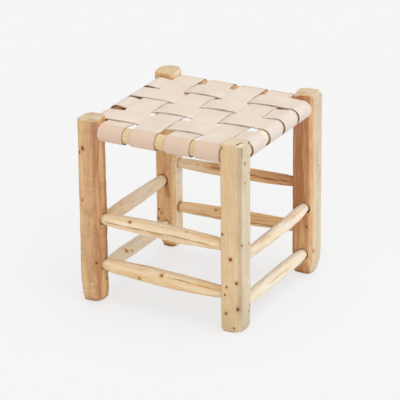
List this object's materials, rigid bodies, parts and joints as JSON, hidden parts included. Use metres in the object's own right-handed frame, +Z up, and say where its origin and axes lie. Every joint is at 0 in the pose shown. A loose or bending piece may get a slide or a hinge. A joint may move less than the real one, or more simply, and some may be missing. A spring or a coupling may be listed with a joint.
{
  "type": "woven stool",
  "caption": "Low square wooden stool with hewn legs, whittled stretchers tenoned between them and a seat of interlaced leather straps wrapped round the seat rails.",
  "frame": {"origin": "on the floor under the middle of the seat, the bottom centre of the bounding box", "axes": "+Z up along the legs, +X to the right along the front, -Y towards the front"},
  "size_m": [0.342, 0.342, 0.3735],
  "materials": {
    "leg_wood": "bare, hewn",
    "stretcher_wood": "bare, peeled",
    "rail_wood": "bare, peeled",
    "strap_leather": "natural, matte",
    "tack_steel": "blued"
  },
  "bodies": {
    "root": {"leg_front_left": "leg_wood", "leg_front_right": "leg_wood", "leg_back_right": "leg_wood", "leg_back_left": "leg_wood", "stretcher_front_upper": "stretcher_wood", "stretcher_front_lower": "stretcher_wood", "stretcher_back_upper": "stretcher_wood", "stretcher_back_lower": "stretcher_wood", "stretcher_left_upper": "stretcher_wood", "stretcher_left_lower": "stretcher_wood", "stretcher_right_upper": "stretcher_wood", "stretcher_right_lower": "stretcher_wood", "seat_rail_front": "rail_wood", "seat_rail_back": "rail_wood", "seat_rail_left": "rail_wood", "seat_rail_right": "rail_wood", "strap_long_a": "strap_leather", "strap_long_b": "strap_leather", "strap_long_c": "strap_leather", "strap_long_d": "strap_leather", "strap_cross_a": "strap_leather", "strap_cross_b": "strap_leather", "strap_cross_c": "strap_leather", "strap_cross_d": "strap_leather", "tacks_front": "tack_steel", "tacks_back": "tack_steel", "tacks_left": "tack_steel", "tacks_right": "tack_steel"}
  },
  "joints": []
}
